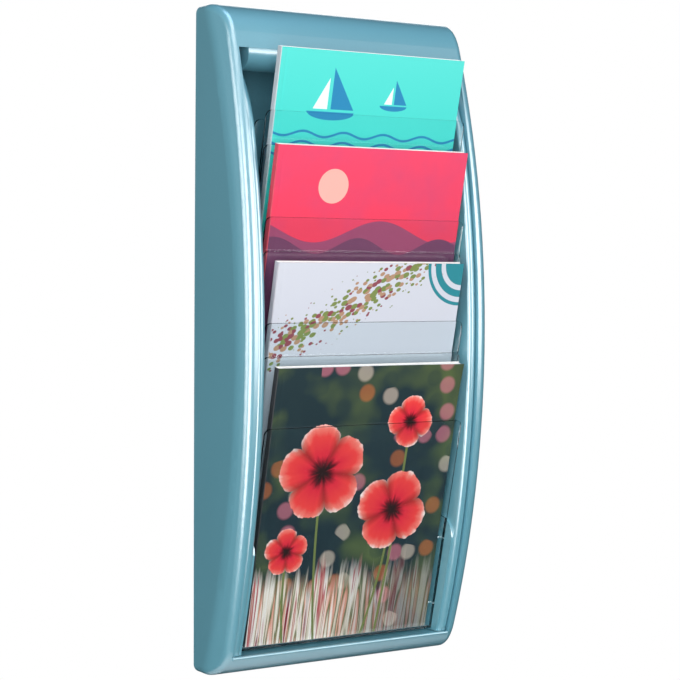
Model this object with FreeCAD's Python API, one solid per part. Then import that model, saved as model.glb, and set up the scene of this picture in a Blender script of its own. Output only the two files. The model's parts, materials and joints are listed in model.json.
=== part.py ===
import FreeCAD, Part
import math
import os

# Wall brochure holder: a bowed frame with four clear leaning pockets, one brochure in each.
# X runs to the right, Z up, the front faces -Y, and the wall is the plane y = 0.
# The origin lies on the wall, in the middle of the frame. All sizes are in millimetres.

vector = FreeCAD.Vector

# Overall frame
frame_height = 650.0
frame_width = 287.0
bow_depth = 98.0
end_depth_share = 0.453
end_round = 40.0
skin = 3.0
crown_round = 8.0
overrun = 5.0
find_tolerance = 0.02

# Side cheek, with a crease that follows the bowed front
crease_depth_share = 0.855
crease_end_share = 0.2
crease_softness = 6.0
cheek_draft_share = 0.01
shoulder_angle = 20.0

# Opening in the front of the frame, with a rolled edge under its top band and a lip and shelf at its bottom band
side_band = 15.5
top_band = 44.0
bottom_band = 21.5
return_depth = 14.0
roll_radius = 16.0
roll_drop = 0.3
roll_end_gap = 0.8
lip_radius = 1.6
lip_rise = 0.4
shelf_gap = 2.0

# Pocket rails, one on each side. Their upper ends curve back behind the frame, from a share of its height.
rail_gap = 0.8
rail_width = 9.0
rail_wall = 2.2
rail_drop = 2.6
rail_crown = 2.6
rail_lip_depth = 20.0
rail_end_gap = 0.6
rail_tip_share = 0.31
rail_tip_radius_share = 0.23
guard_thickness = 2.6
guard_height_share = 0.19
guard_set_back = 5.6
guard_round = 22.0
boss_width = 9.0
boss_height = 12.0
boss_depth = 14.0
boss_level_shares = (-0.37, 0.0, 0.345)

# Back panel
panel_thickness = 3.0
panel_side_gap = 1.2
panel_edge_gap = 0.4
flange_set_in = 20.5
flange_depth = 12.0
flange_thickness = 3.0
wall_hole_radius = 2.75
wall_hole_side_margin = 53.5
wall_hole_end_margin = 55.0

# Clear pockets. Shares of height are of the opening's height.
pocket_count = 4
pocket_pitch_share = 0.1715
pocket_lean = 13.0
pocket_side_gap = 0.9
pocket_stack_gap = 1.0
pocket_wall = 2.2
pocket_front_share = 0.386
pocket_side_share = 0.206
pocket_corner_round = 6.0
pocket_foot_depth_share = 0.393
pocket_foot_gap = 3.0

# Heights of the pocket backs, listed from the lowest pocket to the highest
pocket_back_shares = (0.498, 0.498, 0.498, 0.365)

# Brochures, listed from the lowest pocket to the highest
brochure_side_rooms = (10.3, 9.8, 6.0, 13.4)
brochure_height_shares = (0.483, 0.482, 0.4995, 0.4835)
brochure_thickness = 7.5
cover_sheet = 0.5
page_set_back = 0.8
brochure_clearance = 0.4

# Push pins between rails and pockets. Their shares are of the height of the pocket's side.
pin_radius = 2.0
pin_head_radius = 4.0
pin_head = 1.5
pin_clearance = 0.15
pin_level_shares = (0.205, 0.803)
pin_tip_gap = 0.2

# Screws
screw_radius = 1.6
screw_head_radius = 3.3
screw_head = 1.7
screw_clearance = 0.12
rail_screw_length = 13.0
frame_screw_length = 9.0
frame_screw_side_margin = 63.5

# Sizes that follow for the frame
half_height = frame_height / 2
half_width = frame_width / 2
end_depth = end_depth_share * bow_depth
bow_sag = bow_depth - end_depth
bow_radius = (half_height ** 2 + bow_sag ** 2) / (bow_sag + bow_sag)
bow_centre = bow_radius - bow_depth
crease_depth = crease_depth_share * bow_depth
crease_end_depth = crease_end_share * bow_depth
crease_sag = crease_depth - crease_end_depth
crease_radius = (half_height ** 2 + crease_sag ** 2) / (crease_sag + crease_sag)
crease_centre = crease_radius - crease_depth
crease_half_width = half_width - cheek_draft_share * crease_depth
cheek_end_radius = math.hypot(crease_centre, half_height)
cheek_end_half_width = crease_half_width + cheek_draft_share * (crease_radius - cheek_end_radius)
opening_half_width = half_width - side_band
opening_top = half_height - top_band
opening_bottom = bottom_band - half_height
opening_height = opening_top - opening_bottom
opening_lean = math.asin(opening_top / bow_radius)
roll_reach = bow_radius - roll_drop - roll_radius

# Sizes that follow for the rails and the back panel
rail_outer = opening_half_width - rail_gap
rail_inner = rail_outer - rail_width
roll_half_length = rail_inner - roll_end_gap
lip_half_length = opening_half_width - roll_end_gap
rail_radius = bow_radius - rail_drop
rail_tip_radius = rail_tip_radius_share * frame_height
rail_tip_lean = math.asin(rail_tip_share * frame_height / rail_radius)
guard_top = opening_bottom + guard_height_share * frame_height
boss_levels = [share * frame_height for share in boss_level_shares]
panel_half_width = cheek_end_half_width - skin - panel_side_gap
panel_round = crown_round - skin + panel_edge_gap
flange_half_width = panel_half_width - flange_set_in
wall_hole_x = half_width - wall_hole_side_margin
wall_hole_z = half_height - wall_hole_end_margin
frame_screw_x = half_width - frame_screw_side_margin
frame_screw_depth = panel_thickness + flange_depth / 2

# Sizes that follow for the pockets and the brochures
pocket_pitch = pocket_pitch_share * opening_height
pocket_half_width = rail_inner - guard_thickness - pocket_side_gap
pocket_depth = pocket_pitch * math.sin(math.radians(pocket_lean)) - pocket_stack_gap
pocket_front_height = pocket_front_share * opening_height
pocket_side_height = pocket_side_share * opening_height
pocket_back_heights = [share * opening_height for share in pocket_back_shares]
pocket_foot_depth = pocket_foot_depth_share * bow_depth
pocket_foot_level = opening_bottom + pocket_foot_gap
pocket_room = pocket_half_width - pocket_wall
brochure_half_widths = [pocket_room - room / 2 for room in brochure_side_rooms]
brochure_heights = [share * opening_height for share in brochure_height_shares]
pin_levels = [share * pocket_side_height for share in pin_level_shares]

x_axis = vector(1, 0, 0)
y_axis = vector(0, 1, 0)
z_axis = vector(0, 0, 1)


def bow_at(level, inset=0.0):
    """Depth of the bowed front, or of a surface inset behind it, at a height."""
    return math.sqrt((bow_radius - inset) ** 2 - level ** 2) - bow_centre


def box(low, high):
    """Box between two corners."""
    size = high.sub(low)
    return Part.makeBox(size.x, size.y, size.z, low)


def mirrored(shape):
    """Copy of a shape on the other side of the middle plane."""
    return shape.mirror(vector(0, 0, 0), x_axis)


def fused(shapes):
    """One solid out of several that overlap."""
    return shapes[0].fuse(shapes[1:]).removeSplitter()


def face_of(edges):
    """Flat face inside a closed run of edges."""
    return Part.Face(Part.Wire(Part.__sortEdges__(edges)))


def swept(face, hub, start, turn):
    """Solid that a section sweeps about an axis along X, from a starting angle on through a turn."""
    section = face.copy()
    section.rotate(hub, x_axis, math.degrees(start))
    return section.revolve(hub, x_axis, math.degrees(turn))


def sweep_turn(reach):
    """Angle from mid height past an end of the frame, for a sweep with the given least radius."""
    return math.asin((half_height + overrun) / reach)


# Front frame

def side_view_face(inset, back):
    """Side view of the bowed front with its rounded top and bottom ends."""
    radius = bow_radius - inset
    top = half_height - inset
    round_radius = end_round - inset
    hub_level = top - round_radius
    hub_depth = math.sqrt((radius - round_radius) ** 2 - hub_level ** 2) - bow_centre
    lean = math.asin(hub_level / (radius - round_radius))
    middle = (lean + math.pi / 2) / 2
    edges = []
    for sign in (1, -1):
        start = vector(0, -hub_depth, sign * top)
        way = vector(0, -hub_depth - round_radius * math.cos(middle),
                     sign * (hub_level + round_radius * math.sin(middle)))
        end = vector(0, bow_centre - radius * math.cos(lean), sign * radius * math.sin(lean))
        edges.append(Part.Arc(start, way, end).toShape())
        edges.append(Part.makeLine(vector(0, back, sign * top), start))
    low = vector(0, bow_centre - radius * math.cos(lean), -radius * math.sin(lean))
    high = vector(0, low.y, -low.z)
    edges.append(Part.Arc(low, vector(0, bow_centre - radius, 0), high).toShape())
    edges.append(Part.makeLine(vector(0, back, -top), vector(0, back, top)))
    return face_of(edges)


def side_edges(inset):
    """Section of the right side: a drafted cheek, a soft crease and a slanting shoulder."""
    reach = bow_depth + end_depth - crease_depth
    shoulder_share = math.tan(math.radians(shoulder_angle))
    crease = vector(crease_half_width - inset, -crease_depth, 0)
    wall_end = vector(crease.x + cheek_draft_share * (crease_depth + overrun), overrun, 0)
    front_end = vector(crease.x - shoulder_share * reach, crease.y - reach, 0)
    soft_start = vector(crease.x + cheek_draft_share * crease_softness, crease.y + crease_softness, 0)
    soft_end = vector(crease.x - shoulder_share * crease_softness, crease.y - crease_softness, 0)
    soft_middle = soft_start.add(soft_end).add(crease).add(crease).multiply(1 / 4)
    return [Part.makeLine(wall_end, soft_start), Part.Arc(soft_start, soft_middle, soft_end).toShape(),
            Part.makeLine(soft_end, front_end)], wall_end, front_end


def side_bound(inset):
    """Space between the two sides, which swell a little at mid height."""
    right, wall_end, front_end = side_edges(inset)
    edges = right + [mirrored(edge) for edge in right]
    for end in (wall_end, front_end):
        edges.append(Part.makeLine(vector(-end.x, end.y, 0), end))
    turn = sweep_turn(crease_centre - overrun)
    return swept(face_of(edges), vector(0, crease_centre, 0), -turn, turn + turn)


def crown_edges(body, back):
    """Edges along both sides where the bowed front and the two ends meet the cheeks and shoulders."""
    edges = []
    for face in body.Faces:
        if abs(face.normalAt(0, 0).x) > find_tolerance:
            continue
        for edge in face.Edges:
            middle = edge.valueAt((edge.FirstParameter + edge.LastParameter) / 2)
            across = abs(edge.tangentAt(edge.FirstParameter).x) > math.cos(1)
            if not across and middle.y < back - find_tolerance:
                edges.append(edge)
    return edges


def frame_body(inset, back):
    """Solid inside the frame's outer surface, or inside a surface inset behind it."""
    wide = half_width + bow_depth
    body = side_view_face(inset, back).extrude(vector(wide + wide, 0, 0))
    body.translate(vector(-wide, 0, 0))
    body = body.common(side_bound(inset))
    return body.makeFillet(crown_round - inset, crown_edges(body, back))


def opening_block(grow):
    """Box through the frame's front opening, grown on all four sides."""
    return box(vector(-opening_half_width - grow, -bow_depth - overrun, opening_bottom - grow),
               vector(opening_half_width + grow, overrun + overrun, opening_top + grow))


def front_frame():
    """Moulded hollow frame, open at the back, with returned edges, a rolled edge, a lip and a bottom shelf."""
    body = frame_body(0.0, 0.0)
    behind = Part.makeCylinder(bow_radius - return_depth, frame_width,
                               vector(-half_width, bow_centre, 0), x_axis)
    returns = opening_block(skin).cut(behind)
    shelf = box(vector(-opening_half_width - skin, -bow_depth, opening_bottom - skin),
                vector(opening_half_width + skin, -panel_thickness - shelf_gap, opening_bottom))
    hollow = frame_body(skin, overrun).cut([returns, shelf])
    body = body.cut(hollow).cut(opening_block(0.0))
    roll_place = vector(-roll_half_length, bow_centre - roll_reach * math.cos(opening_lean),
                        roll_reach * math.sin(opening_lean))
    roll = Part.makeCylinder(roll_radius, roll_half_length + roll_half_length, roll_place, x_axis)
    lip_place = vector(-lip_half_length, lip_radius - bow_at(opening_bottom),
                       opening_bottom + lip_rise - lip_radius)
    lip = Part.makeCylinder(lip_radius, lip_half_length + lip_half_length, lip_place, x_axis)
    body = fused([body, roll, lip])
    return body.cut(frame_screws(screw_clearance))


# Pocket rails

def guard():
    """Low inner guard of the right rail, rounded at its upper front end."""
    bottom = opening_bottom + rail_end_gap
    turn_level = guard_top - guard_round
    foot = -bow_at(bottom, guard_set_back)
    top_depth = bow_at(turn_level, guard_set_back)
    half = math.hypot(guard_round, guard_round) / 2
    middle_level = (bottom + turn_level) / 2
    edges = [
        Part.makeLine(vector(0, -panel_thickness, bottom), vector(0, foot, bottom)),
        Part.Arc(vector(0, foot, bottom), vector(0, -bow_at(middle_level, guard_set_back), middle_level),
                 vector(0, -top_depth, turn_level)).toShape(),
        Part.Arc(vector(0, -top_depth, turn_level),
                 vector(0, -top_depth + guard_round - half, turn_level + half),
                 vector(0, -top_depth + guard_round, guard_top)).toShape(),
        Part.makeLine(vector(0, -top_depth + guard_round, guard_top), vector(0, -panel_thickness, guard_top)),
        Part.makeLine(vector(0, -panel_thickness, guard_top), vector(0, -panel_thickness, bottom)),
    ]
    plate = face_of(edges).extrude(vector(guard_thickness + rail_wall, 0, 0))
    plate.translate(vector(rail_inner - guard_thickness, 0, 0))
    return plate


def rail_section():
    """Section of the right rail at mid height: a rounded bead with two legs behind it."""
    top = bow_depth - rail_drop
    base = top - rail_crown
    middle = (rail_inner + rail_outer) / 2
    corners = [vector(rail_outer, -base, 0), vector(rail_outer, rail_lip_depth - base, 0),
               vector(rail_outer - rail_wall, rail_lip_depth - base, 0),
               vector(rail_outer - rail_wall, rail_wall - base, 0),
               vector(rail_inner + rail_wall, rail_wall - base, 0),
               vector(rail_inner + rail_wall, overrun, 0), vector(rail_inner, overrun, 0),
               vector(rail_inner, -base, 0)]
    edges = [Part.makeLine(corners[i], corners[i + 1]) for i in range(len(corners) - 1)]
    edges.append(Part.Arc(corners[-1], vector(middle, -top, 0), corners[0]).toShape())
    return face_of(edges)


def rail_strip():
    """Right rail's bead and legs, which follow the bow and then curve back more tightly at the top."""
    hub = vector(0, bow_centre, 0)
    down = sweep_turn(bow_centre - overrun)
    long_part = swept(rail_section(), hub, -rail_tip_lean, rail_tip_lean + down)
    joint = rail_section()
    joint.rotate(hub, x_axis, -math.degrees(rail_tip_lean))
    arm = rail_radius - rail_tip_radius
    tip_hub = vector(0, bow_centre - arm * math.cos(rail_tip_lean), arm * math.sin(rail_tip_lean))
    tip_turn = math.atan2(opening_top + overrun - tip_hub.z, tip_hub.y) - rail_tip_lean
    tip = swept(joint, tip_hub, -tip_turn, tip_turn)
    return fused([long_part, tip])


def pocket_rail():
    """Right pocket rail with its guard, screw bosses and pin holes."""
    limits = box(vector(0, -bow_depth, opening_bottom + rail_end_gap),
                 vector(half_width, -panel_thickness, opening_top - rail_end_gap))
    pieces = [rail_strip().common(limits), guard()]
    for level in boss_levels:
        pieces.append(box(vector(rail_inner, -panel_thickness - boss_depth, level - boss_height / 2),
                          vector(rail_inner + rail_wall + boss_width, -panel_thickness,
                                 level + boss_height / 2)))
    profile = side_view_face(rail_drop, -panel_thickness).extrude(vector(half_width, 0, 0))
    rail = fused(pieces).common(profile)
    holes = pins_on_right(pin_clearance) + rail_screws_on_right(screw_clearance)
    return rail.cut(holes)


# Back panel

def back_panel():
    """Flat panel on the wall with two flanges that take the frame's screws."""
    top = half_height - skin - panel_edge_gap
    sheet = box(vector(-panel_half_width, -panel_thickness, -top), vector(panel_half_width, 0, top))
    upright = [edge for edge in sheet.Edges if abs(edge.tangentAt(edge.FirstParameter).y) > math.cos(1)]
    sheet = sheet.makeFillet(panel_round, upright)
    flange = box(vector(-flange_half_width, -panel_thickness - flange_depth, top - flange_thickness),
                 vector(flange_half_width, 0, top))
    panel = fused([sheet, flange, flange.mirror(vector(0, 0, 0), z_axis)])
    cuts = [frame_screws(screw_clearance)]
    for screw in rail_screws_on_right(screw_clearance):
        cuts += [screw, mirrored(screw)]
    for x_sign in (-1, 1):
        for z_sign in (-1, 1):
            place = vector(x_sign * wall_hole_x, -panel_thickness - overrun, z_sign * wall_hole_z)
            cuts.append(Part.makeCylinder(wall_hole_radius, panel_thickness + overrun + overrun,
                                          place, y_axis))
    return panel.cut(cuts)


# Pockets and brochures, built upright and then leaned forward into their places

def leaned(shape, index):
    """Shape in its pocket's upright frame, leaned forward and set at its pocket's place."""
    placed = shape.copy()
    placed.rotate(vector(0, 0, 0), x_axis, pocket_lean)
    placed.translate(vector(0, -pocket_foot_depth, pocket_foot_level + index * pocket_pitch))
    return placed


def round_topped(width, low_y, thickness, height):
    """Upright plate with its two upper corners rounded."""
    plate = box(vector(-width, low_y, 0), vector(width, low_y + thickness, height))
    tops = [edge for edge in plate.Edges
            if edge.BoundBox.ZMin > height - find_tolerance and edge.BoundBox.XLength < find_tolerance]
    return plate.makeFillet(pocket_corner_round, tops)


def pocket(index):
    """Clear pocket: front plate, taller back plate, floor and two low sides."""
    front = round_topped(pocket_half_width, 0, pocket_wall, pocket_front_height)
    back = round_topped(pocket_half_width, pocket_depth - pocket_wall, pocket_wall,
                        pocket_back_heights[index])
    floor = box(vector(-pocket_half_width, 0, 0), vector(pocket_half_width, pocket_depth, pocket_wall))
    side = box(vector(pocket_half_width - pocket_wall, 0, 0),
               vector(pocket_half_width, pocket_depth, pocket_side_height))
    whole = leaned(fused([front, back, floor, side, mirrored(side)]), index)
    holes = []
    for pin in pins_of_pocket(index, pin_clearance):
        holes += [pin, mirrored(pin)]
    return whole.cut(holes)


def brochure(index):
    """Cover and page block of one brochure, the cover wrapped around the spine on the left."""
    half = brochure_half_widths[index]
    low = pocket_wall + brochure_clearance
    high = low + brochure_heights[index]
    front = pocket_wall + brochure_clearance
    back = front + brochure_thickness
    whole = box(vector(-half, front, low), vector(half, back, high))
    inside = box(vector(-half + cover_sheet, front + cover_sheet, low - overrun),
                 vector(half + overrun, back - cover_sheet, high + overrun))
    pages = box(vector(-half + cover_sheet, front + cover_sheet, low + page_set_back),
                vector(half - page_set_back, back - cover_sheet, high - page_set_back))
    return leaned(whole.cut(inside), index), leaned(pages, index)


# Fasteners

def pins_of_pocket(index, grow):
    """Push pins on the right side of one pocket, heads behind the rail's inner leg."""
    seat = rail_inner + rail_wall
    tip = pocket_half_width - pocket_wall + pin_tip_gap
    pins = []
    for level in pin_levels:
        place = vector(tip - grow, pocket_depth / 2, level)
        shank = Part.makeCylinder(pin_radius + grow, seat - tip + grow, place, x_axis)
        head_place = vector(seat, place.y, level)
        head = Part.makeCylinder(pin_head_radius + grow, pin_head + grow, head_place, x_axis)
        pins.append(leaned(fused([shank, head]), index))
    return pins


def pins_on_right(grow):
    """Every push pin on the right side."""
    return [pin for index in range(pocket_count) for pin in pins_of_pocket(index, grow)]


def pocket_pins():
    """All push pins of both sides, as separate solids."""
    pins = pins_on_right(0.0)
    return Part.makeCompound(pins + [mirrored(pin) for pin in pins])


def countersunk_screw(length, grow):
    """Screw along +Z with its flat head at the origin and its tip at the given length below."""
    head = Part.makeCone(screw_radius + grow, screw_head_radius + grow, screw_head,
                         vector(0, 0, -screw_head))
    shank = Part.makeCylinder(screw_radius + grow, length - screw_head + grow,
                              vector(0, 0, -length - grow))
    return fused([head, shank])


def rail_screws_on_right(grow):
    """Screws from the wall side through the back panel into the right rail's bosses."""
    screws = []
    for level in boss_levels:
        screw = countersunk_screw(rail_screw_length, grow)
        screw.rotate(vector(0, 0, 0), x_axis, -math.degrees(math.pi / 2))
        screw.translate(vector(rail_inner + rail_wall + boss_width / 2, 0, level))
        screws.append(screw)
    return screws


def rail_screws():
    """All rail screws of both sides, as separate solids."""
    screws = rail_screws_on_right(0.0)
    return Part.makeCompound(screws + [mirrored(screw) for screw in screws])


def frame_screws(grow):
    """Screws down through the top and up through the bottom of the frame into the panel's flanges."""
    screws = []
    for sign in (-1, 1):
        screw = countersunk_screw(frame_screw_length, grow)
        screw.translate(vector(sign * frame_screw_x, -frame_screw_depth, half_height))
        screws += [screw, screw.mirror(vector(0, 0, 0), z_axis)]
    return Part.makeCompound(screws)


# Hand out the pieces

os.makedirs("parts", exist_ok=True)
right_rail = pocket_rail()
pieces = {
    "front_frame": front_frame(),
    "right_pocket_rail": right_rail,
    "left_pocket_rail": mirrored(right_rail),
    "back_panel": back_panel(),
    "pocket_pins": pocket_pins(),
    "rail_screws": rail_screws(),
    "frame_screws": frame_screws(0.0),
}
for index in range(pocket_count):
    number = pocket_count - index
    cover, pages = brochure(index)
    pieces[f"pocket_{number}"] = pocket(index)
    pieces[f"brochure_{number}_cover"] = cover
    pieces[f"brochure_{number}_pages"] = pages
for name, shape in pieces.items():
    shape.exportStep(f"parts/{name}.step")
    bounds = shape.BoundBox
    print(name, len(shape.Solids), shape.isValid(), round(shape.Volume),
          [round(value, 1) for value in (bounds.XMin, bounds.XMax, bounds.YMin, bounds.YMax,
                                         bounds.ZMin, bounds.ZMax)])
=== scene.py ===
import json
import logging
import math
from dataclasses import dataclass
from enum import Enum
from typing import Any

import bpy
import numpy as np
from mathutils import Matrix, Vector


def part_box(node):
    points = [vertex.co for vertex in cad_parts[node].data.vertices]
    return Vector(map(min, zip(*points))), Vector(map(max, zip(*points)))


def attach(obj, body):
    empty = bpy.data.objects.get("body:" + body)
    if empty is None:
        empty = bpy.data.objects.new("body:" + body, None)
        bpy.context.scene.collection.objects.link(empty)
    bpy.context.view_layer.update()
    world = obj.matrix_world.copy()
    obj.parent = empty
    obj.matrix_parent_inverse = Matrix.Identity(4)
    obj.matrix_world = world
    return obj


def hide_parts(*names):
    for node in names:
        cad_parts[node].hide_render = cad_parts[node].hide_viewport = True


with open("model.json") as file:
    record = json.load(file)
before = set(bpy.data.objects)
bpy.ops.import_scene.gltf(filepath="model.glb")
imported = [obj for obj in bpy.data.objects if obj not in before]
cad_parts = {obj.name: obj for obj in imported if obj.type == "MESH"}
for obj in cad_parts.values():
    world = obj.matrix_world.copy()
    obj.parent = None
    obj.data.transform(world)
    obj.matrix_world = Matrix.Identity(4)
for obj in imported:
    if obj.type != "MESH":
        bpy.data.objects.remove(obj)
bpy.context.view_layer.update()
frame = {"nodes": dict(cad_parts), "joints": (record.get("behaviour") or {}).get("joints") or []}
LOG = logging.getLogger("brochure_holder")

MILLIMETRE = 0.001
FRAME_PIXELS = 680
SENSOR_MM = 36.0
MATH = "ShaderNodeMath"
MIX = "ShaderNodeMix"
RAMP = "ShaderNodeValToRGB"
NOISE = "ShaderNodeTexNoise"
MAPPING = "ShaderNodeMapping"
GRADIENT = "ShaderNodeTexGradient"
VORONOI = "ShaderNodeTexVoronoi"
MAP_RANGE = "ShaderNodeMapRange"
COORDINATES = "ShaderNodeTexCoord"
SEPARATE = "ShaderNodeSeparateXYZ"
SHADE = "ShaderNodeHueSaturation"
LIGHT_PATH = "ShaderNodeLightPath"
MIX_SHADER = "ShaderNodeMixShader"
ATTRIBUTE = "ShaderNodeAttribute"
BACKGROUND = "ShaderNodeBackground"


def linear(code: str, alpha: float = 1.0) -> tuple[float, float, float, float]:
    """Turns an sRGB hex colour into linear light.

    Args:
        code: Colour as #RRGGBB.
        alpha: Opacity that goes with it.

    Returns:
        Red, green, blue and alpha in linear light.
    """
    shares = [int(code[place:place + 2], 16) / 255 for place in (1, 3, 5)]
    light = [s / 12.92 if s <= 0.04045 else ((s + 0.055) / 1.055) ** 2.4 for s in shares]
    return light[0], light[1], light[2], alpha


def per_metre(size_mm: float) -> float:
    """Texture scale on metre coordinates for a pattern of the given size in millimetres."""
    return 1.0 / (size_mm * MILLIMETRE)


def add(tree: bpy.types.NodeTree, kind: str, feeds: dict[Any, Any] | None = None,
        stops: list[tuple[float, str]] | None = None, steps: str = "LINEAR",
        **settings: Any) -> bpy.types.Node:
    """Adds one node with its settings and links.

    Args:
        tree: Node tree that takes the node.
        kind: Node type name.
        feeds: Input name or index, with a constant or the output that feeds it.
        stops: Positions and hex colours of a colour ramp.
        steps: How the ramp goes from stop to stop.
        **settings: Properties set on the node itself.

    Returns:
        The new node.
    """
    node = tree.nodes.new(kind)
    for key, value in settings.items():
        setattr(node, key, value)
    if stops:
        ramp = node.color_ramp
        ramp.interpolation = steps
        while len(ramp.elements) < len(stops):
            ramp.elements.new(1.0)
        for element, (position, code) in zip(ramp.elements, stops):
            element.position = position
            element.color = linear(code)
    for key, value in (feeds or {}).items():
        if isinstance(value, bpy.types.NodeSocket):
            tree.links.new(value, node.inputs[key])
        else:
            node.inputs[key].default_value = value
    return node


def start_material(name: str) -> tuple[bpy.types.Material, bpy.types.NodeTree, bpy.types.Node]:
    """Starts a node material.

    Args:
        name: What the material really is.

    Returns:
        The material, its node tree and its Principled node.
    """
    material = bpy.data.materials.new(name)
    material.use_nodes = True
    tree = material.node_tree
    tree.nodes.clear()
    shader = add(tree, "ShaderNodeBsdfPrincipled")
    add(tree, "ShaderNodeOutputMaterial", {"Surface": shader.outputs[0]})
    return material, tree, shader


@dataclass(frozen=True)
class SatinLacquer:
    """Moulded ABS under a satin lacquer with pearl flakes: broad pale highlights and a faint sparkle."""

    name: str
    colour: str
    flake: str
    roughness: float
    ior: float = 2.8
    flake_mm: float = 1.6
    flake_share: float = 0.1
    cloud_mm: float = 140.0
    cloud_swing: float = 0.05
    roughness_swing: float = 0.02
    coat_weight: float = 1.0
    coat_roughness: float = 0.2

    def make(self) -> bpy.types.Material:
        """Builds the lacquer, with flakes drawn coarser than real ones so that they show."""
        material, tree, shader = start_material(self.name)
        place = add(tree, COORDINATES).outputs["Object"]
        flakes = add(tree, VORONOI, {"Vector": place, "Scale": per_metre(self.flake_mm)})
        cloud = add(tree, NOISE, {"Vector": place, "Scale": per_metre(self.cloud_mm), "Detail": 2.0})
        share = add(tree, MAP_RANGE, {0: flakes.outputs["Color"], 3: 0.0, 4: self.flake_share})
        tone = add(tree, MIX, {0: share.outputs[0], 6: linear(self.colour), 7: linear(self.flake)},
                   data_type="RGBA")
        shade = add(tree, MAP_RANGE,
                    {0: cloud.outputs[0], 3: 1.0 - self.cloud_swing, 4: 1.0 + self.cloud_swing})
        colour = add(tree, SHADE, {"Value": shade.outputs[0], "Color": tone.outputs[2]})
        rough = add(tree, MAP_RANGE,
                    {0: cloud.outputs[0], 3: self.roughness - self.roughness_swing,
                     4: self.roughness + self.roughness_swing})
        tree.links.new(colour.outputs[0], shader.inputs["Base Color"])
        tree.links.new(rough.outputs[0], shader.inputs["Roughness"])
        shader.inputs["IOR"].default_value = self.ior
        shader.inputs["Coat Weight"].default_value = self.coat_weight
        shader.inputs["Coat Roughness"].default_value = self.coat_roughness
        return material


@dataclass(frozen=True)
class TexturedPanel:
    """Moulded sheet with the fine even grain of spark-eroded tooling: matt, without clear highlights."""

    name: str
    colour: str
    grain_mm: float = 0.8
    grain_swing: float = 0.2
    bump_strength: float = 0.25
    bump_mm: float = 0.3
    roughness: float = 0.6

    def make(self) -> bpy.types.Material:
        """Builds the grained sheet."""
        material, tree, shader = start_material(self.name)
        place = add(tree, COORDINATES).outputs["Object"]
        grain = add(tree, NOISE, {"Vector": place, "Scale": per_metre(self.grain_mm), "Detail": 3.0})
        shade = add(tree, MAP_RANGE,
                    {0: grain.outputs[0], 3: 1.0 - self.grain_swing, 4: 1.0 + self.grain_swing})
        colour = add(tree, SHADE,
                     {"Value": shade.outputs[0], "Color": linear(self.colour)})
        bump = add(tree, "ShaderNodeBump",
                   {"Strength": self.bump_strength, "Distance": self.bump_mm * MILLIMETRE,
                    "Height": grain.outputs[0]})
        tree.links.new(colour.outputs[0], shader.inputs["Base Color"])
        tree.links.new(bump.outputs[0], shader.inputs["Normal"])
        shader.inputs["Roughness"].default_value = self.roughness
        return material


@dataclass(frozen=True)
class ClearPolystyrene:
    """Clear moulded polystyrene: lets the eye through, mirrors at glancing angles and shows its cut edges."""

    name: str
    tint: str
    ior: float = 1.5
    handling_mm: float = 60.0
    roughest: float = 0.03

    def make(self) -> bpy.types.Material:
        """Builds the clear plastic, which lets the light through to and from what is behind it."""
        material, tree, shader = start_material(self.name)
        place = add(tree, COORDINATES).outputs["Object"]
        handling = add(tree, NOISE, {"Vector": place, "Scale": per_metre(self.handling_mm), "Detail": 4.0})
        rough = add(tree, MAP_RANGE, {0: handling.outputs[0], 3: 0.0, 4: self.roughest})
        tree.links.new(rough.outputs[0], shader.inputs["Roughness"])
        shader.inputs["Base Color"].default_value = linear(self.tint)
        shader.inputs["Transmission Weight"].default_value = 1.0
        shader.inputs["IOR"].default_value = self.ior
        open_way = add(tree, "ShaderNodeBsdfTransparent", {"Color": linear(self.tint)}).outputs[0]
        path = add(tree, LIGHT_PATH)
        surface = shader.outputs[0]
        for way in ("Is Diffuse Ray", "Is Shadow Ray"):
            surface = add(tree, MIX_SHADER,
                          {0: path.outputs[way], 1: surface, 2: open_way}).outputs[0]
        output = next(node for node in tree.nodes if node.type == "OUTPUT_MATERIAL")
        tree.links.new(surface, output.inputs["Surface"])
        return material


@dataclass(frozen=True)
class PlainMoulding:
    """Small moulded or plated parts: an even colour broken by fine marks from making."""

    name: str
    colour: str
    metallic: float
    roughness: float
    mark_mm: float = 1.2
    mark_swing: float = 0.12
    roughness_swing: float = 0.08

    def make(self) -> bpy.types.Material:
        """Builds the finish."""
        material, tree, shader = start_material(self.name)
        place = add(tree, COORDINATES).outputs["Object"]
        marks = add(tree, NOISE, {"Vector": place, "Scale": per_metre(self.mark_mm), "Detail": 3.0})
        shade = add(tree, MAP_RANGE,
                    {0: marks.outputs[0], 3: 1.0 - self.mark_swing, 4: 1.0 + self.mark_swing})
        colour = add(tree, SHADE,
                     {"Value": shade.outputs[0], "Color": linear(self.colour)})
        rough = add(tree, MAP_RANGE,
                    {0: marks.outputs[0], 3: self.roughness - self.roughness_swing,
                     4: self.roughness + self.roughness_swing})
        tree.links.new(colour.outputs[0], shader.inputs["Base Color"])
        tree.links.new(rough.outputs[0], shader.inputs["Roughness"])
        shader.inputs["Metallic"].default_value = self.metallic
        return material


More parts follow.
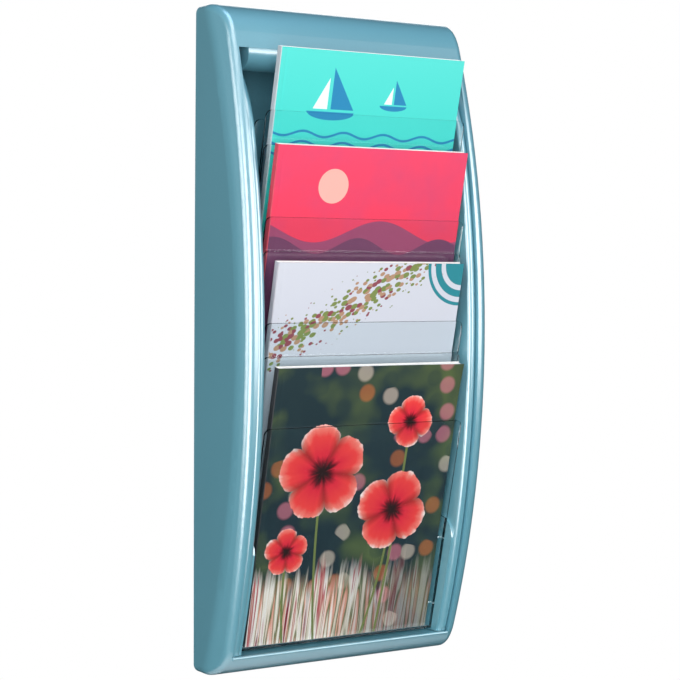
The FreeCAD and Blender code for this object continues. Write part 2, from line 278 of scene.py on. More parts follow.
@dataclass(frozen=True)
class PageEdges:
    """Coated paper in a cut block: white edges with thin lines between the leaves."""

    name: str = "cut coated paper"
    paper: str = "#F4F3F0"
    gap: str = "#C9C8C6"
    leaf_mm: float = 0.3
    line_from: float = 0.2
    line_share: float = 0.7
    roughness: float = 0.75

    def make(self) -> bpy.types.Material:
        """Builds the page edges, with leaves drawn three times as thick as real ones so that they show."""
        material, tree, shader = start_material(self.name)
        sheet = add(tree, ATTRIBUTE, attribute_name="sheet_mm")
        parts = add(tree, SEPARATE, {0: sheet.outputs["Vector"]})
        turn = add(tree, MATH, {0: parts.outputs[2], 1: 2 * math.pi / self.leaf_mm}, operation="MULTIPLY")
        wave = add(tree, MATH, {0: turn.outputs[0]}, operation="SINE")
        share = add(tree, MAP_RANGE,
                    {0: wave.outputs[0], 1: self.line_from, 2: 1.0, 3: 0.0, 4: self.line_share})
        tone = add(tree, MIX, {0: share.outputs[0], 6: linear(self.paper), 7: linear(self.gap)},
                   data_type="RGBA")
        tree.links.new(tone.outputs[2], shader.inputs["Base Color"])
        shader.inputs["Roughness"].default_value = self.roughness
        return material


class Motif(Enum):
    """Generic cover designs."""

    SAILS = "sails over waves"
    HILLS = "hills under a disc"
    SEEDS = "a drift of seeds"
    BLOOMS = "open blooms"


@dataclass(frozen=True)
class Sheet:
    """What a design is painted on: outputs in millimetres for the place, and the colour beneath."""

    tree: bpy.types.NodeTree
    place: bpy.types.NodeSocket
    across: bpy.types.NodeSocket
    up: bpy.types.NodeSocket
    ground: bpy.types.NodeSocket


@dataclass(frozen=True)
class Bloom:
    """One bloom: heart, radius and stem's bend in millimetres, number of petals and turn in radians."""

    across: float
    up: float
    radius: float
    petals: float
    turn: float
    bend: float


BLOOM_PLACES = (Bloom(64.0, 176.0, 50.0, 5.0, 0.3, 14.0), Bloom(152.0, 132.0, 43.0, 4.0, 0.9, -18.0),
                Bloom(160.0, 224.0, 27.0, 4.0, 0.2, -9.0), Bloom(34.0, 96.0, 25.0, 5.0, 0.6, 8.0))


@dataclass(frozen=True)
class PrintedCover:
    """Coated card printed all over, with a soft gloss and plain unprinted insides."""

    name: str
    motif: Motif
    ground: str
    ground_low: str
    accents: tuple[str, ...]
    spine: str
    height_mm: float
    width_mm: float
    fade_mm: float = 120.0
    fold_mm: float = 0.8
    inside_from: float = 0.6
    unprinted: str = "#F2F1EE"
    fibre_mm: float = 1.5
    smoothest: float = 0.36
    roughest: float = 0.48
    gloss: float = 0.35

    def make(self) -> bpy.types.Material:
        """Builds the card with its design on the front."""
        material, tree, shader = start_material(self.name)
        spot = add(tree, ATTRIBUTE, attribute_name="sheet_mm").outputs["Vector"]
        across, up, depth = add(tree, SEPARATE, {0: spot}).outputs
        rise = add(tree, MAP_RANGE,
                   {0: up, 1: self.height_mm - self.fade_mm, 2: self.height_mm, 3: 0.0, 4: 1.0})
        ground = add(tree, MIX, {0: rise.outputs[0], 6: linear(self.ground_low), 7: linear(self.ground)},
                     data_type="RGBA").outputs[2]
        paint = {Motif.SAILS: self.sails, Motif.HILLS: self.hills,
                 Motif.SEEDS: self.seeds, Motif.BLOOMS: self.blooms}[self.motif]
        design = paint(Sheet(tree, spot, across, up, ground))
        on_front = add(tree, MATH, {0: across, 1: self.fold_mm}, operation="GREATER_THAN").outputs[0]
        outside = add(tree, MIX, {0: on_front, 6: linear(self.spine), 7: design}, data_type="RGBA")
        inside = add(tree, MATH, {0: depth, 1: self.inside_from}, operation="GREATER_THAN").outputs[0]
        colour = add(tree, MIX, {0: inside, 6: outside.outputs[2], 7: linear(self.unprinted)},
                     data_type="RGBA")
        tree.links.new(colour.outputs[2], shader.inputs["Base Color"])
        place = add(tree, COORDINATES).outputs["Object"]
        fibre = add(tree, NOISE, {"Vector": place, "Scale": per_metre(self.fibre_mm), "Detail": 3.0})
        rough = add(tree, MAP_RANGE, {0: fibre.outputs[0], 3: self.smoothest, 4: self.roughest})
        tree.links.new(rough.outputs[0], shader.inputs["Roughness"])
        shader.inputs["Specular IOR Level"].default_value = self.gloss
        return material

    def sails(self, sheet: Sheet) -> bpy.types.NodeSocket:
        """Sails over hulls and long waves.

        A sail is where both shares of its width and height are above nought and add up to less
        than one, a hull is the lower half of an ellipse, and a wave is a sine of the distance across.

        Args:
            sheet: What the design is painted on.

        Returns:
            Output with the painted colour.
        """
        tree, top = sheet.tree, self.height_mm
        colour = sheet.ground
        for foot, level, wide, tall in ((62.0, -56.0, 26.0, 40.0), (58.0, -56.0, -16.0, 30.0),
                                        (134.0, -48.0, 15.0, 24.0), (131.5, -48.0, -9.0, 17.0)):
            local = add(tree, MAPPING, {0: sheet.place, 1: (foot, top + level, 0.0), 3: (wide, tall, 1.0)},
                        vector_type="TEXTURE")
            shares = add(tree, SEPARATE, {0: local.outputs[0]})
            least = add(tree, MATH, {0: shares.outputs[0], 1: shares.outputs[1]}, operation="MINIMUM")
            total = add(tree, MATH, {0: shares.outputs[0], 1: shares.outputs[1]}, operation="ADD")
            over = add(tree, MATH, {0: least.outputs[0], 1: 0.0}, operation="GREATER_THAN")
            under = add(tree, MATH, {0: total.outputs[0], 1: 1.0}, operation="LESS_THAN")
            sail = add(tree, MATH, {0: over.outputs[0], 1: under.outputs[0]}, operation="MULTIPLY")
            cloth = linear(self.accents[1 if wide < 0 else 0])
            colour = add(tree, MIX, {0: sail.outputs[0], 6: colour, 7: cloth}, data_type="RGBA").outputs[2]
        for middle, level, wide, deep in ((62.0, -58.5, 27.0, 8.0), (133.5, -49.5, 16.0, 5.0)):
            local = add(tree, MAPPING, {0: sheet.place, 1: (middle, top + level, 0.0), 3: (wide, deep, 1.0)},
                        vector_type="TEXTURE")
            shares = add(tree, SEPARATE, {0: local.outputs[0]})
            field = add(tree, GRADIENT, {0: local.outputs[0]}, gradient_type="SPHERICAL")
            inside = add(tree, MATH, {0: field.outputs[0], 1: 0.01}, operation="GREATER_THAN")
            low = add(tree, MATH, {0: shares.outputs[1], 1: 0.0}, operation="LESS_THAN")
            hull = add(tree, MATH, {0: inside.outputs[0], 1: low.outputs[0]}, operation="MULTIPLY")
            colour = add(tree, MIX, {0: hull.outputs[0], 6: colour, 7: linear(self.accents[0])},
                         data_type="RGBA").outputs[2]
        turn = add(tree, MATH, {0: sheet.across, 1: 2 * math.pi / 46.0}, operation="MULTIPLY")
        swell = add(tree, MATH, {0: turn.outputs[0]}, operation="SINE")
        level = add(tree, MATH, {0: swell.outputs[0], 1: 2.6, 2: sheet.up}, operation="MULTIPLY_ADD")
        rise = add(tree, MAP_RANGE,
                   {0: level.outputs[0], 1: top - 104.0, 2: top - 70.0, 3: 0.0, 4: 1.0})
        lines = add(tree, RAMP, {0: rise.outputs[0]}, steps="CONSTANT",
                    stops=[(0.0, "#000000"), (0.1, "#FFFFFF"), (0.17, "#000000"), (0.37, "#FFFFFF"),
                           (0.44, "#000000"), (0.66, "#FFFFFF"), (0.73, "#000000")])
        return add(tree, MIX, {0: lines.outputs[0], 6: colour, 7: linear(self.accents[0])},
                   data_type="RGBA").outputs[2]

    def hills(self, sheet: Sheet) -> bpy.types.NodeSocket:
        """Two ranges of hills, each a sine whose phase is its own base height, under a pale disc.

        Args:
            sheet: What the design is painted on.

        Returns:
            Output with the painted colour.
        """
        tree, top = sheet.tree, self.height_mm
        cloud = add(tree, NOISE, {"Vector": sheet.place, "Scale": 1 / 55.0, "Detail": 3.0})
        patch = add(tree, MAP_RANGE, {0: cloud.outputs[0], 1: 0.45, 2: 0.75, 3: 0.0, 4: 0.4})
        colour = add(tree, MIX, {0: patch.outputs[0], 6: sheet.ground, 7: linear(self.accents[2])},
                     data_type="RGBA").outputs[2]
        disc = add(tree, MAPPING, {0: sheet.place, 1: (66.0, top - 38.0, 0.0), 3: (17.0, 17.0, 1.0)},
                   vector_type="TEXTURE")
        field = add(tree, GRADIENT, {0: disc.outputs[0]}, gradient_type="SPHERICAL")
        inside = add(tree, MATH, {0: field.outputs[0], 1: 0.01}, operation="GREATER_THAN")
        colour = add(tree, MIX, {0: inside.outputs[0], 6: colour, 7: linear(self.accents[1])},
                     data_type="RGBA").outputs[2]
        for period, swing, base, accent in ((150.0, 11.0, top - 82.0, 3), (96.0, 8.0, top - 96.0, 0)):
            turn = add(tree, MATH, {0: sheet.across, 1: 2 * math.pi / period, 2: base},
                       operation="MULTIPLY_ADD")
            swell = add(tree, MATH, {0: turn.outputs[0]}, operation="SINE")
            ridge = add(tree, MATH, {0: swell.outputs[0], 1: swing, 2: base}, operation="MULTIPLY_ADD")
            below = add(tree, MATH, {0: sheet.up, 1: ridge.outputs[0]}, operation="LESS_THAN")
            colour = add(tree, MIX, {0: below.outputs[0], 6: colour, 7: linear(self.accents[accent])},
                         data_type="RGBA").outputs[2]
        return colour

    def seeds(self, sheet: Sheet) -> bpy.types.NodeSocket:
        """Small seeds drifting along a slanting band, with rings about one corner of the sheet.

        Args:
            sheet: What the design is painted on.

        Returns:
            Output with the painted colour.
        """
        tree, top = sheet.tree, self.height_mm
        turned = add(tree, MAPPING, {0: sheet.place, 1: (70.0, top - 50.0, 0.0),
                                     2: (0.0, 0.0, math.radians(28.0)), 3: (1.0, 1.0, 1.0)},
                     vector_type="TEXTURE")
        apart = add(tree, SEPARATE, {0: turned.outputs[0]})
        off = add(tree, MATH, {0: apart.outputs[1]}, operation="ABSOLUTE")
        near = add(tree, MAP_RANGE, {0: off.outputs[0], 1: 4.0, 2: 30.0, 3: 0.62, 4: 0.0})
        flat = add(tree, MAPPING, {0: turned.outputs[0], 3: (0.62, 1.0, 0.0)}, vector_type="POINT")
        cells = add(tree, VORONOI, {"Vector": flat.outputs[0], "Scale": 1 / 4.2})
        seed = add(tree, MATH, {0: cells.outputs["Distance"], 1: near.outputs[0]}, operation="LESS_THAN")
        ink = add(tree, RAMP, {0: cells.outputs["Color"]}, steps="CONSTANT",
                  stops=[(0.0, self.accents[0]), (0.45, self.accents[1]), (0.62, self.accents[2])])
        colour = add(tree, MIX, {0: seed.outputs[0], 6: sheet.ground, 7: ink.outputs[0]},
                     data_type="RGBA").outputs[2]
        corner = add(tree, MAPPING, {0: sheet.place, 1: (self.width_mm, top, 0.0), 3: (44.0, 44.0, 1.0)},
                     vector_type="TEXTURE")
        field = add(tree, GRADIENT, {0: corner.outputs[0]}, gradient_type="SPHERICAL")
        arcs = add(tree, RAMP, {0: field.outputs[0]}, steps="CONSTANT",
                   stops=[(0.0, "#000000"), (0.02, "#FFFFFF"), (0.1, "#000000"), (0.22, "#FFFFFF"),
                          (0.38, "#000000"), (0.5, "#FFFFFF")])
        return add(tree, MIX, {0: arcs.outputs[0], 6: colour, 7: linear(self.accents[3])},
                   data_type="RGBA").outputs[2]

    def blooms(self, sheet: Sheet) -> bpy.types.NodeSocket:
        """Open blooms on bent stems before soft round lights and tall blades.

        A bloom's rim is a circle pulled in where the cosine of the angle times half the petals is
        small, its streaks are noise on angle and reach, and a stem's bend is the square of the drop.

        Args:
            sheet: What the design is painted on.

        Returns:
            Output with the painted colour.
        """
        tree = sheet.tree
        cloud = add(tree, NOISE, {"Vector": sheet.place, "Scale": 1 / 60.0, "Detail": 2.0})
        patch = add(tree, MAP_RANGE, {0: cloud.outputs[0], 1: 0.48, 2: 0.7, 3: 0.0, 4: 0.75})
        colour = add(tree, MIX, {0: patch.outputs[0], 6: sheet.ground, 7: linear(self.accents[4])},
                     data_type="RGBA").outputs[2]
        cells = add(tree, VORONOI, {"Vector": sheet.place, "Scale": 1 / 24.0}, voronoi_dimensions="2D")
        disc = add(tree, MAP_RANGE,
                   {0: cells.outputs["Distance"], 1: 0.3, 2: 0.42, 3: 0.34, 4: 0.0})
        lit = add(tree, RAMP, {0: cells.outputs["Color"]}, steps="CONSTANT",
                  stops=[(0.0, self.ground), (0.42, self.accents[3]), (0.52, "#D9763C"),
                         (0.6, self.accents[1]), (0.7, self.ground)])
        colour = add(tree, MIX, {0: disc.outputs[0], 6: colour, 7: lit.outputs[0]},
                     data_type="RGBA").outputs[2]
        stretched = add(tree, MAPPING, {0: sheet.place, 3: (1 / 8.0, 1 / 170.0, 0.0)}, vector_type="POINT")
        blades = add(tree, NOISE, {"Vector": stretched.outputs[0], "Scale": 1.0, "Detail": 3.0,
                                   "Distortion": 0.5})
        shown = add(tree, RAMP, {0: blades.outputs[0]},
                    stops=[(0.3, self.accents[3]), (0.38, "#B23A44"), (0.43, self.accents[2]),
                           (0.5, self.accents[3]), (0.54, self.accents[4]), (0.58, "#E8A08C"),
                           (0.64, self.accents[2]), (0.7, "#8E2A34")])
        ragged = add(tree, MATH, {0: blades.outputs[0], 1: 90.0, 2: sheet.up}, operation="MULTIPLY_ADD")
        low = add(tree, MAP_RANGE, {0: ragged.outputs[0], 1: 98.0, 2: 122.0, 3: 0.9, 4: 0.0})
        side = add(tree, MAP_RANGE, {0: sheet.across, 1: 95.0, 2: 170.0, 3: 1.0, 4: 0.3})
        grown = add(tree, MATH, {0: low.outputs[0], 1: side.outputs[0]}, operation="MULTIPLY")
        colour = add(tree, MIX, {0: grown.outputs[0], 6: colour, 7: shown.outputs[0]},
                     data_type="RGBA").outputs[2]
        for bloom in BLOOM_PLACES:
            drop = add(tree, MATH, {0: sheet.up, 1: 1 / bloom.up, 2: -1.0}, operation="MULTIPLY_ADD")
            arc = add(tree, MATH, {0: drop.outputs[0], 1: 2.0}, operation="POWER")
            line = add(tree, MATH, {0: arc.outputs[0], 1: bloom.bend, 2: bloom.across},
                       operation="MULTIPLY_ADD")
            off = add(tree, MATH, {0: sheet.across, 1: line.outputs[0]}, operation="SUBTRACT")
            gap = add(tree, MATH, {0: off.outputs[0]}, operation="ABSOLUTE")
            thin = add(tree, MATH, {0: gap.outputs[0], 1: 1.3}, operation="LESS_THAN")
            below = add(tree, MATH, {0: sheet.up, 1: bloom.up}, operation="LESS_THAN")
            stem = add(tree, MATH, {0: thin.outputs[0], 1: below.outputs[0]}, operation="MULTIPLY")
            colour = add(tree, MIX, {0: stem.outputs[0], 6: colour, 7: linear("#6F7A45")},
                         data_type="RGBA").outputs[2]
        for bloom in BLOOM_PLACES:
            local = add(tree, MAPPING, {0: sheet.place, 1: (bloom.across, bloom.up, 0.0),
                                        3: (bloom.radius, bloom.radius, 1.0)}, vector_type="TEXTURE")
            angle = add(tree, GRADIENT, {0: local.outputs[0]}, gradient_type="RADIAL").outputs[0]
            reach = add(tree, "ShaderNodeVectorMath", {0: local.outputs[0]},
                        operation="LENGTH").outputs["Value"]
            turn = add(tree, MATH, {0: angle, 1: math.pi * bloom.petals, 2: bloom.turn},
                       operation="MULTIPLY_ADD")
            wave = add(tree, MATH, {0: turn.outputs[0]}, operation="COSINE")
            lobe = add(tree, MATH, {0: wave.outputs[0]}, operation="ABSOLUTE")
            bulge = add(tree, MATH, {0: lobe.outputs[0], 1: 0.45}, operation="POWER")
            polar = add(tree, "ShaderNodeCombineXYZ", {0: angle, 1: reach, 2: bloom.turn})
            fine = add(tree, MAPPING, {0: polar.outputs[0], 3: (34.0, 1.6, 1.0)}, vector_type="POINT")
            streak = add(tree, NOISE, {"Vector": fine.outputs[0], "Scale": 1.0, "Detail": 4.0}).outputs[0]
            rim = add(tree, MATH, {0: bulge.outputs[0], 1: 0.3, 2: 0.6}, operation="MULTIPLY_ADD")
            frayed = add(tree, MATH, {0: streak, 1: 0.16, 2: rim.outputs[0]}, operation="MULTIPLY_ADD")
            share = add(tree, MATH, {0: reach, 1: frayed.outputs[0]}, operation="DIVIDE").outputs[0]
            inked = add(tree, MATH, {0: streak, 1: 0.5, 2: share}, operation="MULTIPLY_ADD")
            spread = add(tree, MAP_RANGE, {0: inked.outputs[0], 1: 0.3, 2: 1.4, 3: 0.0, 4: 1.0})
            petal = add(tree, RAMP, {0: spread.outputs[0]},
                        stops=[(0.05, "#1B0F10"), (0.15, "#5E0C1C"), (0.3, self.accents[0]),
                               (0.66, "#E8403F"), (0.82, "#F07C70"), (0.96, self.accents[2])])
            fold = add(tree, MAP_RANGE, {0: lobe.outputs[0], 1: 0.0, 2: 0.6, 3: 0.45, 4: 1.0})
            shaded = add(tree, SHADE,
                         {"Value": fold.outputs[0], "Color": petal.outputs[0]})
            inside = add(tree, MATH, {0: share, 1: 1.0}, operation="LESS_THAN")
            colour = add(tree, MIX, {0: inside.outputs[0], 6: colour, 7: shaded.outputs[0]},
                         data_type="RGBA").outputs[2]
        return colour


def put_mesh(name: str, points: np.ndarray, faces: np.ndarray, sheet: np.ndarray) -> bpy.types.Object:
    """Puts a closed surface into a mesh object, facing outwards.

    Args:
        name: Name of the piece.
        points: Corner places in metres, one row each.
        faces: Corner numbers of the four-sided faces.
        sheet: Place on the sheet in millimetres for each corner.

    Returns:
        The new object.
    """
    first, second, third, fourth = (points[faces[:, k]] for k in range(4))
    volume = np.einsum("ij,ij->", first, np.cross(second, third))
    volume += np.einsum("ij,ij->", first, np.cross(third, fourth))
    ordered = faces if volume > 0 else faces[:, ::-1]
    mesh = bpy.data.meshes.new(name)
    mesh.from_pydata(points, [], ordered.tolist())
    mesh.attributes.new("sheet_mm", "FLOAT_VECTOR", "POINT").data.foreach_set(
        "vector", sheet.astype(np.float32).ravel())
    mesh.polygons.foreach_set("use_smooth", np.ones(len(faces), bool))
    mesh.set_sharp_from_angle(angle=math.radians(35.0))
    mesh.update()
    piece = bpy.data.objects.new(name, mesh)
    bpy.context.scene.collection.objects.link(piece)
    return piece


def tube_faces(levels: int, around: int) -> np.ndarray:
    """Faces of a closed loop carried along a path, closed at both ends by strips.

    The loop's first half and its reversed second half lie opposite each other, so corner j
    at an end joins corner around - 1 - j.

    Args:
        levels: Number of loops along the path.
        around: Number of corners in a loop.

    Returns:
        Corner numbers of the faces, one row of four each.
    """
    row, column = np.meshgrid(np.arange(levels - 1), np.arange(around), indexing="ij")
    after = (column + 1) % around
    sides = np.stack([row * around + column, row * around + after,
                      (row + 1) * around + after, (row + 1) * around + column], -1).reshape(-1, 4)
    j = np.arange(around // 2 - 1)
    cap = np.stack([j, around - 1 - j, around - 2 - j, j + 1], -1)
    return np.concatenate([sides, cap, (levels - 1) * around + cap[:, ::-1]])


@dataclass(frozen=True)
class Lean:
    """Where one brochure stands: its lower front corner at the spine, and its directions."""

    corner: Vector
    up: Vector
    inward: Vector
    width: float
    thickness: float
    height: float

    @classmethod
    def of(cls, node: str, up: Vector) -> "Lean":
        """Works the place out from a leaning block's box and its lift direction.

        Args:
            node: Name of the CAD block.
            up: Unit vector up the lean.

        Returns:
            The place, with sizes in metres.
        """
        low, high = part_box(node)
        size = high - low
        sine, cosine = -up.y, up.z
        thickness, height = np.linalg.solve([[cosine, sine], [sine, cosine]], [size.y, size.z])
        corner = Vector((low.x, low.y + height * sine, low.z))
        return cls(corner, up, Vector((0.0, cosine, sine)), size.x, float(thickness), float(height))

    def place(self, across: np.ndarray, inward: np.ndarray, up: np.ndarray) -> np.ndarray:
        """Turns sheet places in millimetres into points in metres.

        Args:
            across: Distances from the spine.
            inward: Distances behind the front cover.
            up: Heights above the lower edge.

        Returns:
            Points, one row each.
        """
        axes = (across, inward, up)
        ways = ((1.0, 0.0, 0.0), tuple(self.inward), tuple(self.up))
        moved = sum(np.asarray(axis)[..., None] * np.array(way) for axis, way in zip(axes, ways))
        return np.array(self.corner) + moved * MILLIMETRE


@dataclass
class Brochure:
    """One bound brochure: a card cover wrapped round its spine, and a block of gathered pages."""

    number: int
    motif: Motif
    ground: str
    ground_low: str
    accents: tuple[str, ...]
    spine: str
    curl_mm: float
    card_mm: float = 0.4
    bend_mm: float = 0.9
    hinge_mm: float = 6.5
    hinge_depth_mm: float = 0.16
    hinge_spread_mm: float = 1.1
    fine_from_mm: float = 14.0
    curl_across: float = 0.5
    curl_up: float = 0.8
    section_count: int = 6
    section_gap: float = 0.02
    section_short_mm: float = 0.25
    page_gap_mm: float = 0.1
    page_margin_mm: float = 0.8
    edge_wave_mm: float = 0.12

    def build(self, up: Vector, pages: bpy.types.Material) -> list[bpy.types.Object]:
        """Builds and dresses both pieces.

        Args:
            up: Unit vector along which the brochure lifts.
            pages: Finish of the page block.

        Returns:
            The cover and the page block.
        """
        lean = Lean.of(f"brochure_{self.number}_cover", up)
        cover = self.cover(lean)
        block = self.page_block(lean)
        finish = PrintedCover(f"printed coated card {self.number}", self.motif, self.ground,
                              self.ground_low, self.accents, self.spine, lean.height / MILLIMETRE,
                              lean.width / MILLIMETRE)
        cover.data.materials.append(finish.make())
        block.data.materials.append(pages)
        for piece, node, slot in ((cover, "cover", f"cover_{self.number}"), (block, "pages", "pages")):
            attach(piece, f"brochure_{self.number}")
            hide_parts(f"brochure_{self.number}_{node}")
        return [cover, block]

    def wrap(self, lean: Lean) -> tuple[np.ndarray, np.ndarray, np.ndarray, np.ndarray, np.ndarray]:
        """Outline of the card: front, rounded fold, spine, rounded fold and back.

        The two folds are quarter circles, and each point has the unit direction into the card.

        Args:
            lean: Where the brochure stands.

        Returns:
            Places across and inward, the two parts of the direction into the card, and the
            distance along the card from the front fold, negative past it.
        """
        wide, thick, bend = lean.width / MILLIMETRE, lean.thickness / MILLIMETRE, self.bend_mm
        front = np.concatenate([np.linspace(wide, self.fine_from_mm, 40),
                                np.linspace(self.fine_from_mm - 1.0, bend + 0.2, 22)])
        back = front[::-1]
        turn = np.linspace(0.0, math.pi / 2, 7)
        spine = np.linspace(bend, thick - bend, 5)[1:-1]
        across = np.concatenate([front, bend - bend * np.sin(turn), 0.0 * spine,
                                 bend - bend * np.cos(turn), back])
        inward = np.concatenate([0.0 * front, bend - bend * np.cos(turn), spine,
                                 thick - bend + bend * np.sin(turn), thick + 0.0 * back])
        way_across = np.concatenate([0.0 * front, np.sin(turn), 1.0 + 0.0 * spine, np.cos(turn),
                                     0.0 * back])
        way_inward = np.concatenate([1.0 + 0.0 * front, np.cos(turn), 0.0 * spine, -np.sin(turn),
                                     -1.0 + 0.0 * back])
        along = np.where(way_inward >= 1.0, across, -inward - across)
        return across, inward, way_across, way_inward, along

    def cover(self, lean: Lean) -> bpy.types.Object:
        """Card carried up the brochure's height, creased beside the spine.

        The crease is a narrow bell curve pressed into front and back, and the upper free corner
        of the front lifts by the square of the distance past two lines.

        Args:
            lean: Where the brochure stands.

        Returns:
            The cover.
        """
        across, inward, way_across, way_inward, along = self.wrap(lean)
        wide, tall = lean.width / MILLIMETRE, lean.height / MILLIMETRE
        rise = np.concatenate([np.linspace(0.0, 0.75 * tall, 16), np.linspace(0.76 * tall, tall, 26)])
        crease = self.hinge_depth_mm * np.exp(-((across - self.hinge_mm) / self.hinge_spread_mm) ** 2)
        pressed = inward + way_inward * crease
        reach = np.clip((across / wide - self.curl_across) / (1.0 - self.curl_across), 0.0, 1.0) ** 2
        lift = np.clip((rise / tall - self.curl_up) / (1.0 - self.curl_up), 0.0, 1.0) ** 2
        curl = self.curl_mm * lift[:, None] * (reach * (way_inward > 0.99))[None, :]
        outer_n = pressed[None, :] - curl
        ones = np.ones((len(rise), 1))
        outer = lean.place(across[None, :] * ones, outer_n, rise[:, None] * np.ones_like(outer_n))
        inner = lean.place((across + self.card_mm * way_across)[None, :] * ones,
                           outer_n + self.card_mm * way_inward[None, :],
                           rise[:, None] * np.ones_like(outer_n))
        points = np.concatenate([outer, inner[:, ::-1]], axis=1)
        flat = np.stack(np.broadcast_arrays(along[None, :], rise[:, None], 0.0), -1)
        behind = np.stack(np.broadcast_arrays(along[None, ::-1], rise[:, None], 1.0), -1)
        sheet = np.concatenate([flat, behind], axis=1)
        faces = tube_faces(len(rise), points.shape[1])
        return put_mesh(f"printed_cover_{self.number}", points.reshape(-1, 3), faces, sheet.reshape(-1, 3))

    def page_block(self, lean: Lean) -> bpy.types.Object:
        """Gathered sections of pages, each a flat tube whose cut edge waves a little.

        Args:
            lean: Where the brochure stands.

        Returns:
            The page block.
        """
        wide, thick, tall = (size / MILLIMETRE for size in (lean.width, lean.thickness, lean.height))
        count = self.section_count
        near = self.card_mm + self.hinge_depth_mm + self.page_gap_mm
        bound = self.card_mm + self.page_gap_mm
        section = np.arange(count)[:, None, None]
        depth = (thick - near - near) / count
        short = self.section_short_mm * (1.0 + np.sin(2.3 * section + self.number))
        share = np.concatenate([np.linspace(0.0, 1.0, 10), np.linspace(1.0, 0.0, 10)])[None, None, :]
        rear = np.concatenate([np.zeros(10), np.ones(10)])[None, None, :]
        lift = np.linspace(0.0, 1.0, 30)[None, :, None]
        edge = wide - self.page_margin_mm - short + self.edge_wave_mm * np.sin(9.0 * lift + section)
        across = bound + share * (edge - bound)
        filled = section + self.section_gap + (1.0 - 2 * self.section_gap) * rear
        inward = near + depth * filled + 0.0 * (share + lift)
        up = self.page_margin_mm + lift * (tall - 2 * self.page_margin_mm - short) + 0.0 * share
        across, inward, up = np.broadcast_arrays(across, inward, up)
        points = lean.place(across, inward, up)
        faces = tube_faces(points.shape[1], points.shape[2])
        first = points.shape[1] * points.shape[2] * np.arange(count)
        every = (faces[None] + first[:, None, None]).reshape(-1, 4)
        sheet = np.stack([across, up, inward], -1)
        return put_mesh(f"page_block_{self.number}", points.reshape(-1, 3), every, sheet.reshape(-1, 3))


@dataclass
class Holder:
    """The holder itself, whose CAD pieces keep their shapes and take their finishes here."""

    frame_finish: SatinLacquer = SatinLacquer(
        "satin pearl lacquer on moulded ABS", "#65A6B8", "#84BCCB", 0.32)
    rail_finish: SatinLacquer = SatinLacquer(
        "satin pearl lacquer on moulded rails", "#69A9BA", "#88BFCD", 0.28)
    panel_finish: TexturedPanel = TexturedPanel("grained polystyrene sheet", "#4E8595")
    pocket_finish: ClearPolystyrene = ClearPolystyrene("clear moulded polystyrene", "#FBFEFE")
    pin_finish: PlainMoulding = PlainMoulding("dyed nylon", "#3E6874", 0.0, 0.5)
    screw_finish: PlainMoulding = PlainMoulding("zinc plated steel", "#C6C9CC", 1.0, 0.32, 0.6)

    def dress(self) -> None:
        """Gives each CAD piece its finish."""
        frame_look, rail_look = self.frame_finish.make(), self.rail_finish.make()
        screw_look, pocket_look = self.screw_finish.make(), self.pocket_finish.make()
        looks = {"front_frame": frame_look, "left_pocket_rail": rail_look, "right_pocket_rail": rail_look,
                 "back_panel": self.panel_finish.make(), "pocket_pins": self.pin_finish.make(),
                 "rail_screws": screw_look, "frame_screws": screw_look}
        looks.update({f"pocket_{number}": pocket_look for number in (1, 2, 3, 4)})
        for name, look in looks.items():
            for slot in frame["nodes"][name].material_slots:
                slot.material = look
            LOG.info("dressed %s in %s", name, look.name)


@dataclass
class PhotoCamera:
    """Camera at the photograph's viewing angle, from a fit to the frame's outline."""

    yaw: float = 0.56805
    pitch: float = 0.04155
    roll: float = 0.00712
    distance_m: float = 1.85334
    focal_pixels: float = 1810.14
    target_m: tuple[float, float, float] = (0.024815, 0.0, -0.00141)

    def build(self) -> bpy.types.Object:
        """Makes the camera and sets it as the scene's own."""
        forward = Vector((math.sin(self.yaw) * math.cos(self.pitch),
                          math.cos(self.yaw) * math.cos(self.pitch), -math.sin(self.pitch)))
        level = Vector((math.cos(self.yaw), -math.sin(self.yaw), 0.0))
        above = level.cross(forward)
        right = math.cos(self.roll) * level + math.sin(self.roll) * above
        up = math.cos(self.roll) * above - math.sin(self.roll) * level
        turn = Matrix((right, up, -forward)).transposed().to_4x4()
        data = bpy.data.cameras.new("photo_camera")
        data.sensor_fit = "HORIZONTAL"
        data.sensor_width = SENSOR_MM
        data.lens = self.focal_pixels / FRAME_PIXELS * SENSOR_MM
        camera = bpy.data.objects.new("photo_camera", data)
        bpy.context.scene.collection.objects.link(camera)
        camera.matrix_world = Matrix.Translation(Vector(self.target_m) - forward * self.distance_m) @ turn
        bpy.context.scene.camera = camera
        return camera


@dataclass
class SoftBox:
    """One large soft studio lamp that faces the middle of the object."""

    name: str
    place_m: tuple[float, float, float]
    wide_m: float
    tall_m: float
    watts: float
    colour: str = "#FFFFFF"

    def build(self) -> None:
        """Makes the lamp."""
        data = bpy.data.lights.new(self.name, "AREA")
        data.shape = "RECTANGLE"
        data.size = self.wide_m
        data.size_y = self.tall_m
        data.energy = self.watts
        data.color = linear(self.colour)[:3]
        lamp = bpy.data.objects.new(self.name, data)
        lamp.visible_camera = False
        bpy.context.scene.collection.objects.link(lamp)
        lamp.location = self.place_m
        lamp.rotation_euler = (-Vector(self.place_m)).to_track_quat("-Z", "Y").to_euler()


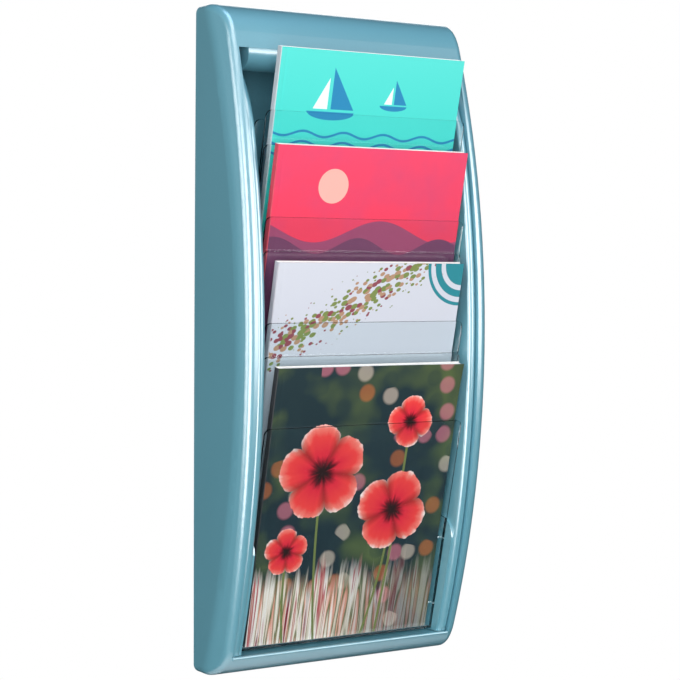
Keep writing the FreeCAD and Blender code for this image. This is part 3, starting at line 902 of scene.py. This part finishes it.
@dataclass
class Studio:
    """Plain pale floor well below the object, white surround and soft lamps."""

    floor_level_m: float = -1.6
    floor_radius_m: float = 1.1
    surround_above: float = 0.064
    surround_below: float = 0.016
    haze_mm: float = 900.0
    lamps: tuple[SoftBox, ...] = (
        SoftBox("front_left_softbox", (-1.27, -2.04, 0.0), 1.28, 2.6, 48.0),
        SoftBox("front_right_softbox", (1.21, -2.02, 0.46), 1.28, 1.5, 27.0),
        SoftBox("left_softbox", (-2.3, -0.62, 0.33), 1.2, 2.0, 23.0),
        SoftBox("high_softbox", (-0.32, -1.51, 1.84), 1.4, 1.0, 11.0),
        SoftBox("rear_softbox", (1.16, 2.02, 0.58), 1.6, 1.6, 14.0),
        SoftBox("overhead_softbox", (0.0, -0.5, 2.3), 1.2, 1.2, 16.0, "#B4DAFB"),
    )

    def floor(self) -> bpy.types.Object:
        """Flat round floor: a polar grid, each point at a radius along its own angle."""
        rings, around = 12, 96
        radius, angle = np.meshgrid(np.linspace(0.02, 1.0, rings) * self.floor_radius_m,
                                    np.linspace(0.0, 2 * math.pi, around, endpoint=False), indexing="ij")
        points = np.stack([radius * np.cos(angle), radius * np.sin(angle),
                           np.full_like(radius, self.floor_level_m)], -1).reshape(-1, 3)
        row, column = np.meshgrid(np.arange(rings - 1), np.arange(around), indexing="ij")
        after = (column + 1) % around
        faces = np.stack([row * around + column, (row + 1) * around + column,
                          (row + 1) * around + after, row * around + after], -1).reshape(-1, 4)
        mesh = bpy.data.meshes.new("studio_floor")
        mesh.from_pydata(points, [], faces.tolist() + [list(range(around))])
        piece = bpy.data.objects.new("studio_floor", mesh)
        bpy.context.scene.collection.objects.link(piece)
        material, tree, shader = start_material("pale matt studio floor")
        place = add(tree, COORDINATES).outputs["Object"]
        haze = add(tree, NOISE, {"Vector": place, "Scale": per_metre(self.haze_mm)})
        tone = add(tree, MIX, {0: haze.outputs[0], 6: linear("#F6F7F7"), 7: linear("#FBFBFB")},
                   data_type="RGBA")
        tree.links.new(tone.outputs[2], shader.inputs["Base Color"])
        shader.inputs["Roughness"].default_value = 0.9
        mesh.materials.append(material)
        return piece

    def surround(self) -> bpy.types.World:
        """White to look at, and as a light dimmer below the horizon than above it."""
        world = bpy.data.worlds.new("white_surround")
        world.use_nodes = True
        tree = world.node_tree
        tree.nodes.clear()
        way = add(tree, COORDINATES).outputs["Generated"]
        height = add(tree, SEPARATE, {0: way}).outputs[2]
        strength = add(tree, MAP_RANGE, {0: height, 1: -0.3, 2: 0.3, 3: self.surround_below,
                                                    4: self.surround_above})
        path = add(tree, LIGHT_PATH)
        seen = add(tree, BACKGROUND, {0: linear("#FFFFFF"), 1: 1.0})
        lit = add(tree, BACKGROUND, {0: linear("#F4F9FB"), 1: strength.outputs[0]})
        mixed = add(tree, MIX_SHADER, {0: path.outputs["Is Camera Ray"], 1: lit.outputs[0],
                                                  2: seen.outputs[0]})
        add(tree, "ShaderNodeOutputWorld", {0: mixed.outputs[0]})
        return world

    def build(self) -> None:
        """Makes the floor, the surround and the lamps."""
        self.floor()
        scene = bpy.context.scene
        scene.world = self.surround()
        scene.view_settings.view_transform = "Standard"
        for lamp in self.lamps:
            lamp.build()


def lift_direction(number: int) -> Vector:
    """Unit vector along which a brochure lifts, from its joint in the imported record."""
    joint = next(joint for joint in frame["joints"] if joint["name"] == f"brochure_{number}_lift")
    return Vector(joint["axis"]).normalized()


def main() -> None:
    """Builds the scene in order."""
    logging.basicConfig(level=logging.INFO, format="%(name)s: %(message)s")
    PhotoCamera().build()
    Studio().build()
    Holder().dress()
    pages = PageEdges().make()
    brochures = (
        Brochure(1, Motif.SAILS, "#50DACF", "#3BD3C9", ("#1B84B4", "#E9FBFA"), "#BCC5CB", 0.0),
        Brochure(2, Motif.HILLS, "#EC4468", "#EE3A55",
                 ("#6E3B5C", "#FFB3A8", "#C24A78", "#9A4568"), "#D24A5C", 0.0),
        Brochure(3, Motif.SEEDS, "#D0D3DD", "#CACDD9",
                 ("#7B8A4E", "#8E4A55", "#B08C72", "#2C8793"), "#BDBBC4", 0.0),
        Brochure(4, Motif.BLOOMS, "#22353A", "#182B33",
                 ("#D8283C", "#F08AA0", "#F6EFEA", "#EBD9C8", "#5B6B3E"), "#3A3B3E", 2.2),
    )
    for brochure in brochures:
        for piece in brochure.build(lift_direction(brochure.number), pages):
            LOG.info("built %s with %d faces", piece.name, len(piece.data.polygons))


if __name__ == "__main__":
    main()
